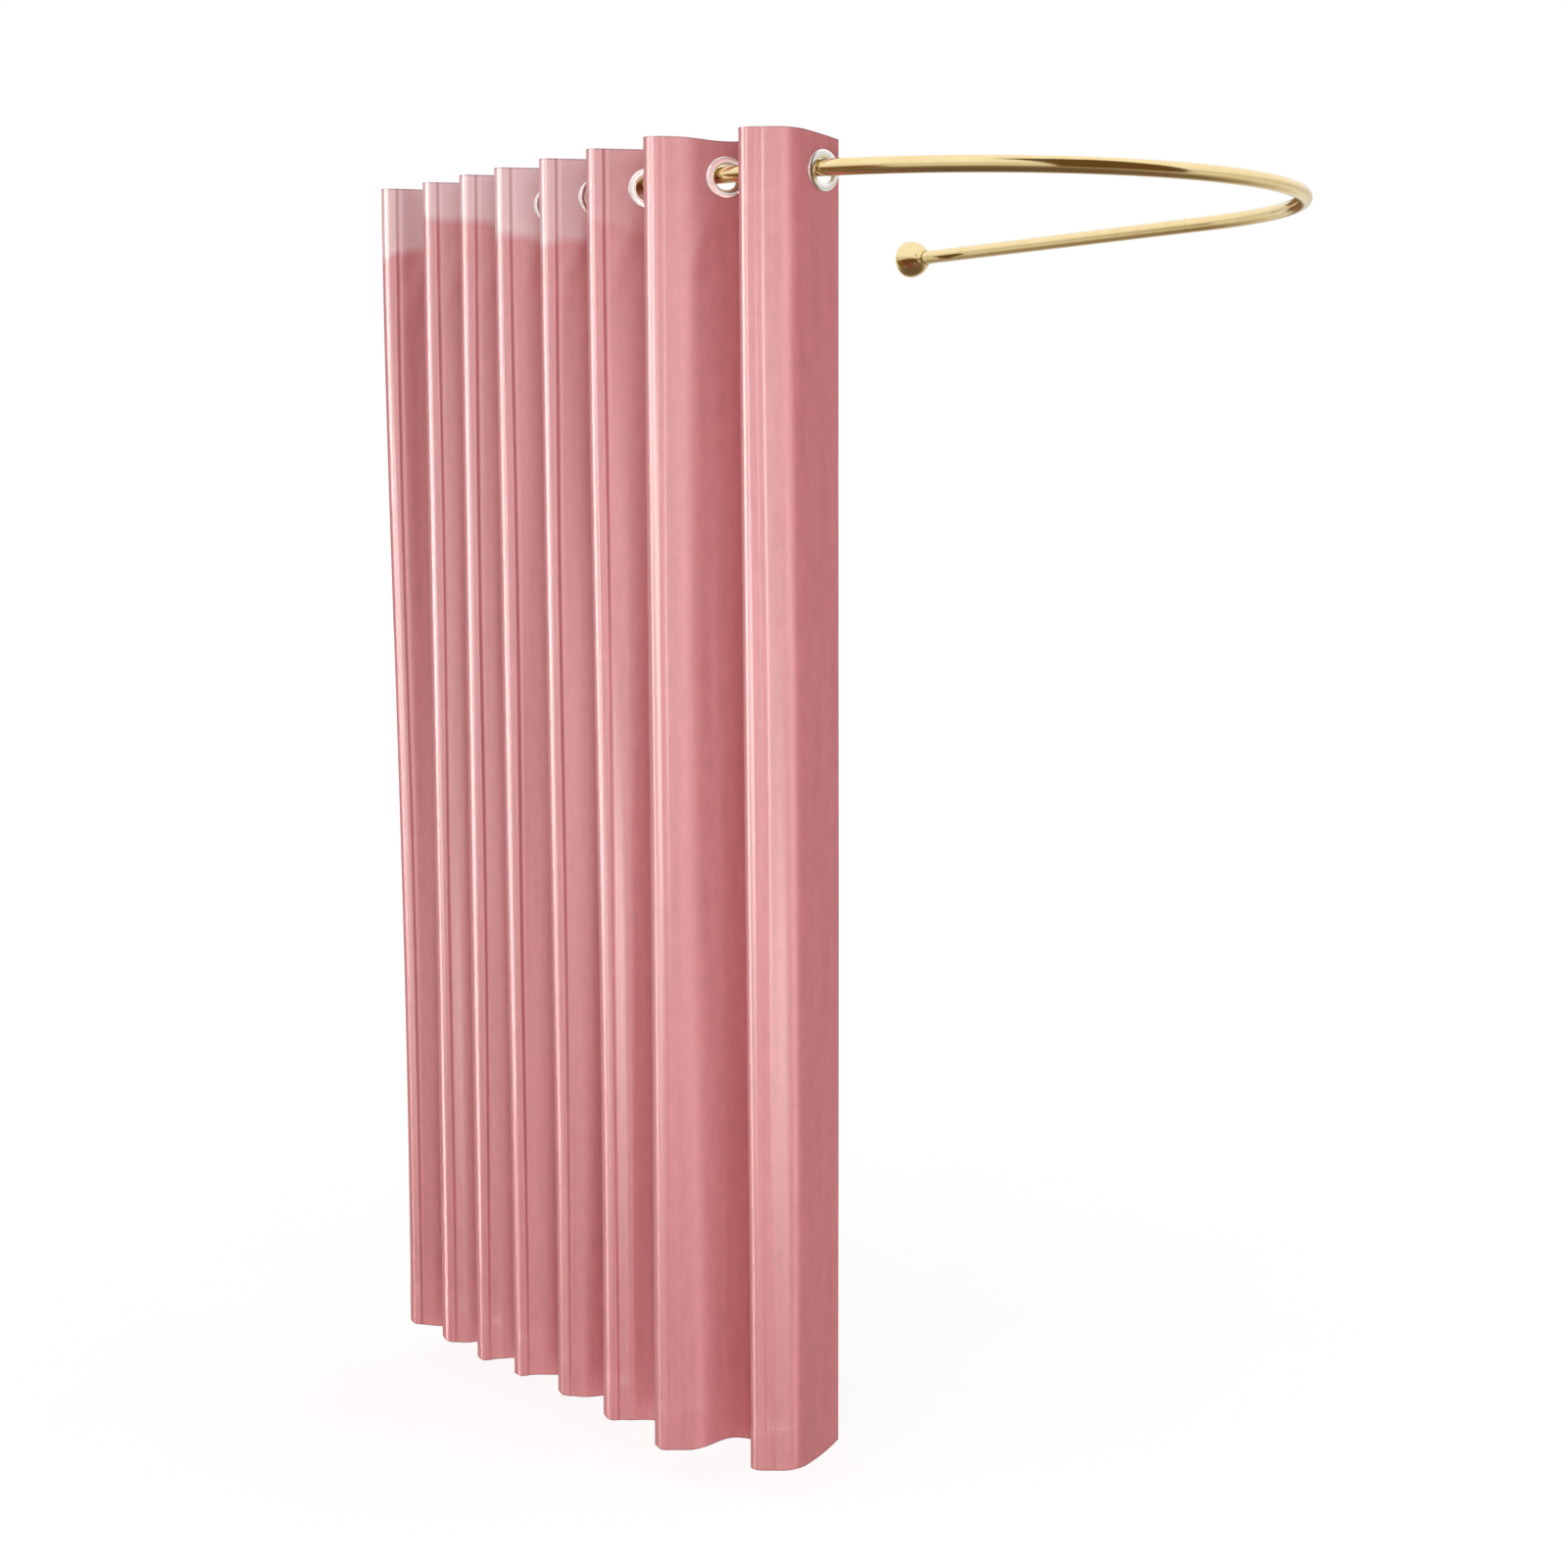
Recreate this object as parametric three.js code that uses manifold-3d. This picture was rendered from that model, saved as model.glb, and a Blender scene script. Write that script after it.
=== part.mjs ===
// A U-shaped curtain rail that stands out from a wall and closes off a changing corner,
// with an eyelet curtain drawn back along its left side.
// Millimetres, +Z up. The wall is the plane y = 0, and the rail reaches out from it to -Y.
// The origin is on the wall, midway between the two wall plates, at the height of the rail's axis.
import * as THREE from "three";
import { mergeVertices } from "three/addons/utils/BufferGeometryUtils.js";
import Module from "manifold-3d";

const wasm = await Module();
wasm.setup();

// Rail
const railWidth = 1125; // between the axes of the two legs
const legLength = 890; // straight part of each leg, from the wall to the bend
const tubeDiameter = 25;
const tubeWall = 1.5;
const bendTailLength = 60; // straight tail at each end of the bent tube
const joinerLength = 80;
const joinerWall = 2;
const pieceGap = 0.3; // between pieces that touch
const cutOverrun = 2; // how far a cutter runs past what it cuts
const weldDistance = 1e-4; // between corners that are one

// Wall plates, their covers and the small screws
const plateRadius = 30;
const plateThickness = 4;
const collarLength = 18;
const collarWall = 3;
const wallScrewRadius = 2.3;
const wallScrewHeadRadius = 4.4;
const wallScrewHoles = 3;
const coverRadius = 35;
const coverRim = 3; // straight edge of the cover at the wall
const coverDomeDepth = 42;
const coverNeckLength = 14;
const coverNeckWall = 2.2;
const coverWall = 1.4;
const coverWallGap = 0.5; // between the cover and the wall
const gripScrewRadius = 2;
const gripScrewLength = 4;
const gripScrewHexRadius = 1.1;
const gripScrewHexDepth = 2;

// Eyelets
const eyeletRadius = 31;
const eyeletHoleRadius = 18.5;
const eyeletHangGap = 1.8; // between the top of the tube and the eyelet that hangs on it
const barrelWall = 1.2;
const faceRingHeight = 3.2;
const backRingHeight = 2.4;
const faceShoulderShare = 0.6; // height of the face ring's outer shoulder
const faceRimShare = 0.11; // width of the slope outside that shoulder
const backCrownShare = 0.33; // width of the slope inside the back ring's highest line
const backRimShare = 0.17; // width of the slope outside it
const backEdgeShare = 0.3; // how far both slopes of the back ring fall back

// Curtain
const curtainHeight = 2000;
const headerHeight = 55; // curtain above the rail's axis
const clothThickness = 2;
const clothHoleGap = 0.5; // between an eyelet's barrel and the edge of its hole
const flatHalf = 33; // half of the flat stretch of cloth under an eyelet
const edgeLength = 33; // from the outer eyelets to the side hems

// Where the eyelets hang, as shares of a leg's length measured along the rail from the left wall
// plate. They come in pairs, one on each side of a fold that stands outwards.
const eyeletShares = [
  0.119, 0.189, 0.262, 0.332, 0.411, 0.482, 0.546, 0.620,
  0.714, 0.782, 0.880, 0.954, 1.035, 1.168, 1.238, 1.359,
];
// How far each eyelet's stretch of cloth leans forward along the rail, in degrees.
const eyeletLeans = [
  22, 24, 22, 24, 22, 24, 22, 24,
  22, 24, 22, 25, 18, 30, 14, 22,
];
// How far each fold stands off the rail, as shares of an eyelet's radius. Folds on the outside
// and on the inside of the rail take turns, and the first stands outwards.
const foldReachShares = [
  3.21, 2.30, 2.75, 2.40, 2.70, 2.30, 2.75, 2.40,
  2.75, 2.50, 2.80, 2.40, 3.25, 2.35, 2.60,
];
// Radius of each fold's round edge, as shares of the distance along the rail that it spans.
const foldRadiusShares = [
  0.17, 0.24, 0.17, 0.24, 0.17, 0.24, 0.17, 0.24,
  0.17, 0.24, 0.17, 0.24, 0.12, 0.25, 0.10,
];
// How far each round edge turns before the cloth runs back to the rail, in degrees.
const foldEdgeTurns = [
  180, 180, 180, 180, 180, 180, 180, 180,
  180, 180, 180, 180, 163, 180, 118,
];
// How far each round edge lies ahead of the middle of its span, as shares of an eyelet's radius.
const foldShiftShares = [
  0.00, 0.00, 0.00, 0.00, 0.00, 0.00, 0.00, 0.00,
  0.00, 0.00, 0.00, 0.00, 0.00, 0.00, -0.95,
];
const foldEaseShare = 0.42; // pull of the curve between a flat stretch and a fold's round edge

// Facets
const tubeSides = 20;
const boreSides = 12;
const bendSteps = 40;
const eyeletSides = 16;
const coverSides = 28;
const domeSteps = 7;
const screwSides = 10;
const hexSides = 6;
const foldEaseSteps = 3;
const foldArcSteps = 5;

// Sizes that follow from those above
const bendRadius = railWidth / 2;
const tubeRadius = tubeDiameter / 2;
const boreRadius = tubeRadius - tubeWall;
const joinerRadius = boreRadius * Math.cos(Math.PI / boreSides) - pieceGap;
const seamDistance = legLength - bendTailLength;
const collarBore = (tubeRadius + pieceGap) / Math.cos(Math.PI / tubeSides);
const collarRadius = collarBore + collarWall;
const tubeStart = plateThickness + pieceGap;
const plateHoleCircle = (collarRadius + plateRadius) / 2;
const barrelRadius = eyeletHoleRadius + barrelWall;
const eyeletDrop = eyeletHoleRadius - tubeRadius - eyeletHangGap;
const clothHalf = clothThickness / 2;
const clothHoleRadius = barrelRadius + clothHoleGap;

const brass = new THREE.MeshStandardMaterial({ color: 0xc9a352, roughness: 0.22, metalness: 1 });
const chrome = new THREE.MeshStandardMaterial({ color: 0xe9e4e6, roughness: 0.15, metalness: 1 });
const steel = new THREE.MeshStandardMaterial({ color: 0x8f8f92, roughness: 0.35, metalness: 1 });
const velvet = new THREE.MeshStandardMaterial({ color: 0xcc8487, roughness: 0.8, metalness: 0 });

const curtainRail = new THREE.Group();

function addMesh(name, geometry, material, matrix) {
  const mesh = new THREE.Mesh(geometry, material);
  mesh.name = name;
  if (matrix) mesh.applyMatrix4(matrix);
  curtainRail.add(mesh);
}

// A closed geometry as a solid for joins and cuts.
function solidOf(geometry, matrix) {
  const shell = new THREE.BufferGeometry();
  const flat = geometry.index ? geometry.toNonIndexed() : geometry;
  shell.setAttribute("position", flat.getAttribute("position").clone());
  if (matrix) shell.applyMatrix4(matrix);
  const merged = mergeVertices(shell, weldDistance);
  return new wasm.Manifold(
    new wasm.Mesh({
      numProp: 3,
      vertProperties: merged.attributes.position.array,
      triVerts: new Uint32Array(merged.index.array),
    }),
  );
}

function geometryOf(solid) {
  const mesh = solid.getMesh();
  const geometry = new THREE.BufferGeometry();
  geometry.setAttribute("position", new THREE.BufferAttribute(mesh.vertProperties, 3));
  geometry.setIndex(new THREE.BufferAttribute(mesh.triVerts, 1));
  geometry.computeVertexNormals();
  return geometry;
}

function circlePoints(radius, sides) {
  return Array.from({ length: sides }, (_, i) => {
    const turn = (2 * Math.PI * i) / sides;
    return new THREE.Vector2(radius * Math.cos(turn), radius * Math.sin(turn));
  });
}

// A revolved piece about the y axis. Points are [radius, height], outer side first going up.
function revolved(points, sides) {
  return new THREE.LatheGeometry(points.map(([r, h]) => new THREE.Vector2(r, h)), sides);
}

function closedRevolved(points, sides) {
  return revolved([...points, points[0]], sides);
}

// A solid cylinder about the y axis between two heights.
function plug(radius, low, high, sides) {
  return revolved([[0, low], [radius, low], [radius, high], [0, high]], sides);
}

// The rail's axis in plan: a point at a distance along it from the left wall plate, with the
// directions along the rail and out of the U there.
function railPlace(distance) {
  const turn = Math.min(Math.max((distance - legLength) / bendRadius, 0), Math.PI);
  const along = new THREE.Vector2(Math.sin(turn), -Math.cos(turn));
  const outward = new THREE.Vector2(-Math.cos(turn), -Math.sin(turn));
  const straight = distance < legLength ? distance - legLength : 0;
  const past = Math.max(distance - legLength - bendRadius * Math.PI, 0);
  const point = new THREE.Vector2(0, -legLength)
    .addScaledVector(outward, bendRadius)
    .addScaledVector(along, straight + past);
  return { point, along, outward };
}

// The bent tube's axis, with its two straight tails.
class BendAxis extends THREE.Curve {
  getPoint(share, target = new THREE.Vector3()) {
    const start = seamDistance + pieceGap / 2;
    const length = 2 * (bendTailLength - pieceGap / 2) + bendRadius * Math.PI;
    const { point } = railPlace(start + share * length);
    return target.set(point.x, point.y, 0);
  }
}

function ringShape(outer, inner) {
  const shape = new THREE.Shape(circlePoints(outer, tubeSides));
  shape.holes.push(new THREE.Path(circlePoints(inner, boreSides)));
  return shape;
}

// A straight tube about the y axis between two distances from the wall.
function straightTube(outer, inner, near, far) {
  const shape = ringShape(outer, inner);
  const tube = new THREE.ExtrudeGeometry(shape, { depth: far - near, bevelEnabled: false });
  return tube.translate(0, 0, near).rotateX(Math.PI / 2);
}

// The hole for a grip screw, reaching from inside the tube straight down past its underside.
function gripScrewCutter(distance) {
  const low = -tubeRadius - collarWall - cutOverrun - collarBore;
  const cutter = plug(gripScrewRadius + pieceGap, low, 0, screwSides);
  return cutter.rotateX(Math.PI / 2).translate(0, -distance, 0);
}

// A headless screw with a hexagon socket, which is at its lower end.
function gripScrew(lowEnd) {
  const body = plug(gripScrewRadius, lowEnd, lowEnd + gripScrewLength, screwSides);
  const socketTop = lowEnd + gripScrewHexDepth;
  const socket = plug(gripScrewHexRadius, lowEnd - cutOverrun, socketTop, hexSides);
  return geometryOf(solidOf(body).subtract(solidOf(socket))).rotateX(Math.PI / 2);
}

// One leg of the rail with its joiner and the two screws that hold the joint, about the y axis.
function addLeg(side, x) {
  const place = new THREE.Matrix4().makeTranslation(x, 0, 0);
  const screwOffset = joinerLength / 4;
  const screwPlaces = [seamDistance - screwOffset, seamDistance + screwOffset];
  const farEnd = seamDistance - pieceGap / 2;
  const tube = solidOf(straightTube(tubeRadius, boreRadius, tubeStart, farEnd));
  const drilled = tube
    .subtract(solidOf(gripScrewCutter(screwPlaces[0])))
    .subtract(solidOf(gripScrewCutter(plateThickness + collarLength / 2)));
  addMesh(`rail_${side}_tube`, geometryOf(drilled), brass, place);

  const near = seamDistance - joinerLength / 2;
  const joinerBore = joinerRadius - joinerWall;
  const sleeve = closedRevolved([
    [joinerRadius, -near - joinerLength], [joinerRadius, -near],
    [joinerBore, -near], [joinerBore, -near - joinerLength],
  ], boreSides);
  let joiner = solidOf(sleeve);
  screwPlaces.forEach((distance, i) => {
    joiner = joiner.subtract(solidOf(gripScrewCutter(distance)));
    const screw = gripScrew(-tubeRadius + pieceGap);
    const at = new THREE.Matrix4().makeTranslation(x, -distance, 0);
    addMesh(`joiner_${side}_screw_${i + 1}`, screw, steel, at);
  });
  addMesh(`joiner_${side}`, geometryOf(joiner), steel, place);
}

function addFrontBend() {
  const axis = new BendAxis();
  const bend = new THREE.ExtrudeGeometry(ringShape(tubeRadius, boreRadius), {
    steps: bendSteps, bevelEnabled: false, extrudePath: axis,
  });
  let drilled = solidOf(bend);
  for (const x of [-bendRadius, bendRadius]) {
    const cutter = gripScrewCutter(seamDistance + joinerLength / 4).translate(x, 0, 0);
    drilled = drilled.subtract(solidOf(cutter));
  }
  addMesh("rail_front_bend", geometryOf(drilled), brass);
}

// A countersunk hole for a wall screw, about the y axis, from the front of the plate.
function wallScrewCutter() {
  const front = -plateThickness;
  const sink = wallScrewHeadRadius - wallScrewRadius;
  return revolved([
    [0, front - cutOverrun], [wallScrewHeadRadius + cutOverrun, front - cutOverrun],
    [wallScrewHeadRadius, front], [wallScrewRadius, front + sink],
    [wallScrewRadius, cutOverrun], [0, cutOverrun],
  ], screwSides);
}

// The plate that is screwed to the wall, with the collar that takes the tube's end.
function addWallPlate(side, x) {
  const place = new THREE.Matrix4().makeTranslation(x, 0, 0);
  const collarEnd = -plateThickness - collarLength;
  let plate = solidOf(revolved([
    [0, -plateThickness], [collarBore, -plateThickness], [collarBore, collarEnd],
    [collarRadius, collarEnd], [collarRadius, -plateThickness],
    [plateRadius, -plateThickness], [plateRadius, 0], [0, 0],
  ], tubeSides));
  for (let i = 0; i < wallScrewHoles; i += 1) {
    const turn = (2 * Math.PI * i) / wallScrewHoles;
    const cutter = wallScrewCutter().translate(0, 0, plateHoleCircle).rotateY(turn);
    plate = plate.subtract(solidOf(cutter));
  }
  const screwDistance = plateThickness + collarLength / 2;
  plate = plate.subtract(solidOf(gripScrewCutter(screwDistance)));
  addMesh(`wall_plate_${side}`, geometryOf(plate), steel, place);
  const screw = gripScrew(-collarRadius + pieceGap);
  const at = new THREE.Matrix4().makeTranslation(x, -screwDistance, 0);
  addMesh(`wall_plate_${side}_screw`, screw, steel, at);
}

// The spun cover that slides along the tube and hides the wall plate.
function addCover(side, x) {
  const neckBore = (tubeRadius + pieceGap) / Math.cos(Math.PI / coverSides);
  const neckRadius = neckBore + coverNeckWall;
  const neckEnd = -coverDomeDepth - coverNeckLength;
  // the dome is a quarter of an ellipse that would meet the axis at its depth
  const dome = (radius, depth, low) => {
    const last = Math.acos(low / radius);
    const full = (depth - coverRim) / Math.sin(last);
    return Array.from({ length: domeSteps + 1 }, (_, i) => {
      const turn = (last * i) / domeSteps;
      return [radius * Math.cos(turn), -coverRim - full * Math.sin(turn)];
    });
  };
  const outside = dome(coverRadius, coverDomeDepth, neckRadius);
  const inside = dome(coverRadius - coverWall, coverDomeDepth - coverWall, neckBore);
  const shell = closedRevolved([
    [coverRadius, -coverWallGap],
    [coverRadius - coverWall, -coverWallGap],
    ...inside,
    [neckBore, neckEnd],
    [neckRadius, neckEnd],
    ...outside.reverse(),
  ], coverSides);
  addMesh(`cover_${side}`, shell, brass, new THREE.Matrix4().makeTranslation(x, 0, 0));
}

// Where an eyelet hangs in plan, which way the cloth runs through it, and which way its face looks.
function eyeletPlace(index) {
  const { point, along, outward } = railPlace(eyeletShares[index] * legLength);
  const lean = THREE.MathUtils.degToRad(eyeletLeans[index]);
  const across = index % 2 === 0 ? Math.cos(lean) : -Math.cos(lean);
  const run = outward.clone().multiplyScalar(across).addScaledVector(along, Math.sin(lean));
  const face = new THREE.Vector2(run.y, -run.x);
  return { point, run, face };
}

// A frame whose y axis is the eyelet's own axis and whose z axis is up.
function eyeletMatrix(index) {
  const { point, face } = eyeletPlace(index);
  const axis = new THREE.Vector3(face.x, face.y, 0);
  const up = new THREE.Vector3(0, 0, 1);
  const sideways = new THREE.Vector3().crossVectors(axis, up);
  return new THREE.Matrix4()
    .makeBasis(sideways, axis, up)
    .setPosition(point.x, point.y, -eyeletDrop);
}

// The face ring, whose barrel goes through the cloth, and the back ring that is pressed on it.
function addEyelet(index, name) {
  const seat = clothHalf + pieceGap;
  const top = seat + faceRingHeight;
  const low = -seat - backRingHeight;
  const width = eyeletRadius - barrelRadius;
  const face = closedRevolved([
    [eyeletHoleRadius, low], [barrelRadius, low], [barrelRadius, seat],
    [eyeletRadius, seat],
    [eyeletRadius - width * faceRimShare, seat + faceRingHeight * faceShoulderShare],
    [barrelRadius + width / 2, top], [eyeletHoleRadius + barrelWall / 2, seat + faceRingHeight / 2],
    [eyeletHoleRadius, clothHalf],
  ], eyeletSides);
  const backBore = barrelRadius + pieceGap;
  const backEdge = low + backRingHeight * backEdgeShare;
  const back = closedRevolved([
    [backBore, backEdge], [backBore + width * backCrownShare, low],
    [eyeletRadius - width * backRimShare, backEdge], [eyeletRadius, -seat],
    [backBore, -seat],
  ], eyeletSides);
  const matrix = eyeletMatrix(index);
  addMesh(`eyelet_${name}_face`, face, chrome, matrix);
  addMesh(`eyelet_${name}_back`, back, chrome, matrix);
}

// The cloth between an eyelet and the next one, seen from above: flat beside both eyelets, eased
// into a fold with a round edge that stands off the rail.
function foldPoints(index) {
  const from = eyeletPlace(index);
  const to = eyeletPlace(index + 1);
  const first = eyeletShares[index] * legLength;
  const last = eyeletShares[index + 1] * legLength;
  const { point, along, outward } = railPlace((first + last) / 2);
  const off = index % 2 === 0 ? outward : outward.clone().negate();
  const radius = foldRadiusShares[index] * (last - first);
  const reach = foldReachShares[index] * eyeletRadius;
  const centre = point.clone()
    .addScaledVector(off, reach - radius)
    .addScaledVector(along, foldShiftShares[index] * eyeletRadius);
  const edgePoint = (turn) => centre.clone()
    .addScaledVector(along, -radius * Math.cos(turn))
    .addScaledVector(off, radius * Math.sin(turn));
  const edgeTurn = THREE.MathUtils.degToRad(foldEdgeTurns[index]);
  const leaving = along.clone()
    .multiplyScalar(Math.sin(edgeTurn))
    .addScaledVector(off, Math.cos(edgeTurn));
  const flatEnd = from.point.clone().addScaledVector(from.run, flatHalf);
  const flatStart = to.point.clone().addScaledVector(to.run, -flatHalf);
  const entry = edgePoint(0);
  const exit = edgePoint(edgeTurn);
  const easeIn = flatEnd.distanceTo(entry) * foldEaseShare;
  const easeOut = flatStart.distanceTo(exit) * foldEaseShare;
  const path = new THREE.CurvePath();
  path.add(new THREE.CubicBezierCurve(
    flatEnd,
    flatEnd.clone().addScaledVector(from.run, easeIn),
    entry.clone().addScaledVector(off, -easeIn),
    entry,
  ));
  path.add(new THREE.CubicBezierCurve(
    exit,
    exit.clone().addScaledVector(leaving, easeOut),
    flatStart.clone().addScaledVector(to.run, -easeOut),
    flatStart,
  ));
  const edge = Array.from(
    { length: foldArcSteps - 1 },
    (_, i) => edgePoint((edgeTurn * (i + 1)) / foldArcSteps),
  );
  return [
    ...path.curves[0].getPoints(foldEaseSteps),
    ...edge,
    ...path.curves[1].getPoints(foldEaseSteps),
  ];
}

// The line of the cloth in plan from one eyelet to a later one. Each end stops short of the
// eyelet's axis by the given length, or runs past it if that is below zero.
function clothLine(first, last, startGap, endGap) {
  const start = eyeletPlace(first);
  const end = eyeletPlace(last);
  const line = [start.point.clone().addScaledVector(start.run, startGap)];
  for (let index = first; index < last; index += 1) line.push(...foldPoints(index));
  line.push(end.point.clone().addScaledVector(end.run, -endGap));
  return line;
}

// The two sides of a strip of cloth around its middle line.
function clothOutline(line) {
  const offset = (side) => line.map((point, i) => {
    const before = line[Math.max(i - 1, 0)];
    const after = line[Math.min(i + 1, line.length - 1)];
    const into = point.clone().sub(before).normalize();
    const out = after.clone().sub(point).normalize();
    const along = into.add(out).normalize();
    return new THREE.Vector2(-along.y, along.x).multiplyScalar(side * clothHalf).add(point);
  });
  return [...offset(1), ...offset(-1).reverse()];
}

function addCloth(name, first, last, startGap, endGap) {
  const outline = new THREE.Shape(clothOutline(clothLine(first, last, startGap, endGap)));
  const sheet = new THREE.ExtrudeGeometry(outline, { depth: curtainHeight, bevelEnabled: false });
  sheet.translate(0, 0, headerHeight - curtainHeight);
  let cloth = solidOf(sheet);
  for (let index = first; index <= last; index += 1) {
    const cut = clothHalf + cutOverrun;
    const cutter = plug(clothHoleRadius, -cut, cut, eyeletSides);
    cloth = cloth.subtract(solidOf(cutter, eyeletMatrix(index)));
  }
  addMesh(name, geometryOf(cloth), velvet);
}

// Eyelets are named by their fold, counted from the wall, and a or b for its near and far side.
function eyeletName(index) {
  return `${Math.floor(index / 2) + 1}${index % 2 === 0 ? "a" : "b"}`;
}

const sides = { left: -bendRadius, right: bendRadius };
for (const [side, x] of Object.entries(sides)) {
  addLeg(side, x);
  addWallPlate(side, x);
  addCover(side, x);
}
addFrontBend();
eyeletShares.forEach((_, index) => addEyelet(index, eyeletName(index)));

const half = pieceGap / 2;
const turnEyelet = 11; // the last eyelet on the straight leg
addCloth("curtain_side", 0, turnEyelet, -edgeLength, half);
addCloth("curtain_corner_valley", turnEyelet, turnEyelet + 1, half, half);
addCloth("curtain_fold_7", turnEyelet + 1, turnEyelet + 2, half, half);
addCloth("curtain_front_valley", turnEyelet + 2, turnEyelet + 3, half, half);
addCloth("curtain_leading_fold", turnEyelet + 3, turnEyelet + 4, half, -edgeLength);

export default curtainRail;
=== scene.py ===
"""Dresses a wall-mounted fitting room rail and its eyelet curtain: polished gold tube and covers,
two-part eyelets, and one sheet of pink cloth with a soft shine that hangs from them in folds.

Metres, +Z up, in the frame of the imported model. The wall is the plane y = 0, the rail reaches out
from it to -Y, and the origin is on the wall midway between the rail's ends, at its axis."""
import math

import bpy
import numpy as np
from mathutils import Matrix, Vector


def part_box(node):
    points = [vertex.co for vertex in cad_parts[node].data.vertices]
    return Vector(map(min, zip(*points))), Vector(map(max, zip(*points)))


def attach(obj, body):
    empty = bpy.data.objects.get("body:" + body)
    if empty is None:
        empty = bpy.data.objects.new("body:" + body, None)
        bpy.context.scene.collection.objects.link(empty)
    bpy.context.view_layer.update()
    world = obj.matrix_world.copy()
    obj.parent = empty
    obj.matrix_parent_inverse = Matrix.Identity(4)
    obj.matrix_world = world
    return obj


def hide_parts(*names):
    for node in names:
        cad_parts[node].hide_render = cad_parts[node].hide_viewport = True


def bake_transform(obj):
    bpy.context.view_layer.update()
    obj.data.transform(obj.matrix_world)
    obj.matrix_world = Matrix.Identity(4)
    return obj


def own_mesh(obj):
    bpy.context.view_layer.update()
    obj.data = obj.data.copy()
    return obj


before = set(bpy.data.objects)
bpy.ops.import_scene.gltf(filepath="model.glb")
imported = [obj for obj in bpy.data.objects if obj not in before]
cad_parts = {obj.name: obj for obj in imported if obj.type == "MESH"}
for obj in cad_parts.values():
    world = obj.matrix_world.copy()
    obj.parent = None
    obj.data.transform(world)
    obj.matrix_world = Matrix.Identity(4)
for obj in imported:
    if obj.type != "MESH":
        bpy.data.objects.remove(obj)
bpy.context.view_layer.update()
scene = bpy.context.scene

# Rail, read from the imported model
LEFT_LOW, LEFT_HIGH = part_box("rail_left_tube")
RIGHT_LOW, RIGHT_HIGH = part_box("rail_right_tube")
BEND_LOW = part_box("rail_front_bend")[0]
TUBE_RADIUS = (LEFT_HIGH.z - LEFT_LOW.z) / 2
BEND_RADIUS = ((RIGHT_HIGH.x + RIGHT_LOW.x) - (LEFT_HIGH.x + LEFT_LOW.x)) / 4
LEG_LENGTH = -BEND_LOW.y - TUBE_RADIUS - BEND_RADIUS
TUBE_WALL = 0.0015
PIECE_GAP = 0.0003
END_CHAMFER = 0.0006
TUBE_SIDES = 64
BEND_STEPS = 180
LEG_STEPS = 12
METAL_SHARP_DEGREES = 35

# Covers
COVER_RADIUS = 0.035
COVER_RIM = 0.003
COVER_DOME_DEPTH = 0.042
COVER_NECK_LENGTH = 0.014
COVER_NECK_WALL = 0.0022
COVER_WALL = 0.0014
COVER_WALL_GAP = 0.0005
COVER_EDGE_ROUND = 0.0007
COVER_SIDES = 128
DOME_STEPS = 28
RIM_STEPS = 8
NECK_STEPS = 4

# Eyelets
EYELET_RADIUS = 0.031
EYELET_HOLE_RADIUS = 0.0185
EYELET_HANG_GAP = 0.0018
BARREL_WALL = 0.0012
FACE_RING_HEIGHT = 0.0032
BACK_RING_HEIGHT = 0.0024
SEAT_HEIGHT = 0.0013
EYELET_DROP = EYELET_HOLE_RADIUS - TUBE_RADIUS - EYELET_HANG_GAP
EYELET_SIDES = 96
RING_SHARP_DEGREES = 40

# The radii of the rings' rolled edges, as shares of a ring's height, and how far they turn
FACE_RIM_SHARE = 0.5
FACE_ROLL_SHARE = 0.75
BACK_RIM_SHARE = 0.6
FACE_CROWN_RISE = 0.0001
RING_EDGE_TURN = 80
RING_EDGE_STEPS = 6
FACE_ROLL_STEPS = 7

# Where the eyelets hang, as shares of a leg's length measured along the rail from the left wall
# plate, and how far each one's stretch of cloth leans forward along the rail, in degrees
EYELET_SHARES = [
    0.119, 0.189, 0.262, 0.332, 0.411, 0.482, 0.546, 0.620,
    0.714, 0.782, 0.880, 0.954, 1.035, 1.168, 1.238, 1.359,
]
EYELET_LEANS = [
    22, 24, 22, 24, 22, 24, 22, 24,
    22, 24, 22, 25, 18, 30, 14, 22,
]
EYELET_COUNT = len(EYELET_SHARES)
TURN_EYELET = 11

# How far each fold stands off the rail at the header, as shares of an eyelet's radius, and the
# radius of its round edge, as shares of the distance along the rail that it spans
FOLD_REACH_SHARES = [
    3.00, 2.30, 2.54, 2.40, 2.55, 2.30, 2.56, 2.40,
    2.54, 2.50, 2.58, 2.40, 2.92, 2.35, 2.60,
]
FOLD_RADIUS_SHARES = [
    0.25, 0.24, 0.25, 0.24, 0.25, 0.24, 0.25, 0.24,
    0.25, 0.24, 0.25, 0.24, 0.16, 0.25, 0.15,
]
# How far each round edge turns, in degrees, and how far it lies ahead of the middle of its span,
# as shares of an eyelet's radius
FOLD_EDGE_TURNS = [
    160, 180, 160, 180, 160, 180, 160, 180,
    160, 180, 160, 180, 135, 180, 118,
]
FOLD_SHIFT_SHARES = [
    -0.40, 0.00, -0.40, 0.00, -0.40, 0.00, -0.40, 0.00,
    -0.40, 0.00, -0.40, 0.00, -0.35, 0.00, -0.95,
]
# How much of its reach each fold loses on the way down to the hem
HEM_LOSS_SHARES = [
    0.30, 0.09, 0.19, 0.09, 0.14, 0.09, 0.16, 0.09,
    0.18, 0.09, 0.23, 0.09, 0.11, 0.09, 0.22,
]
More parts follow.
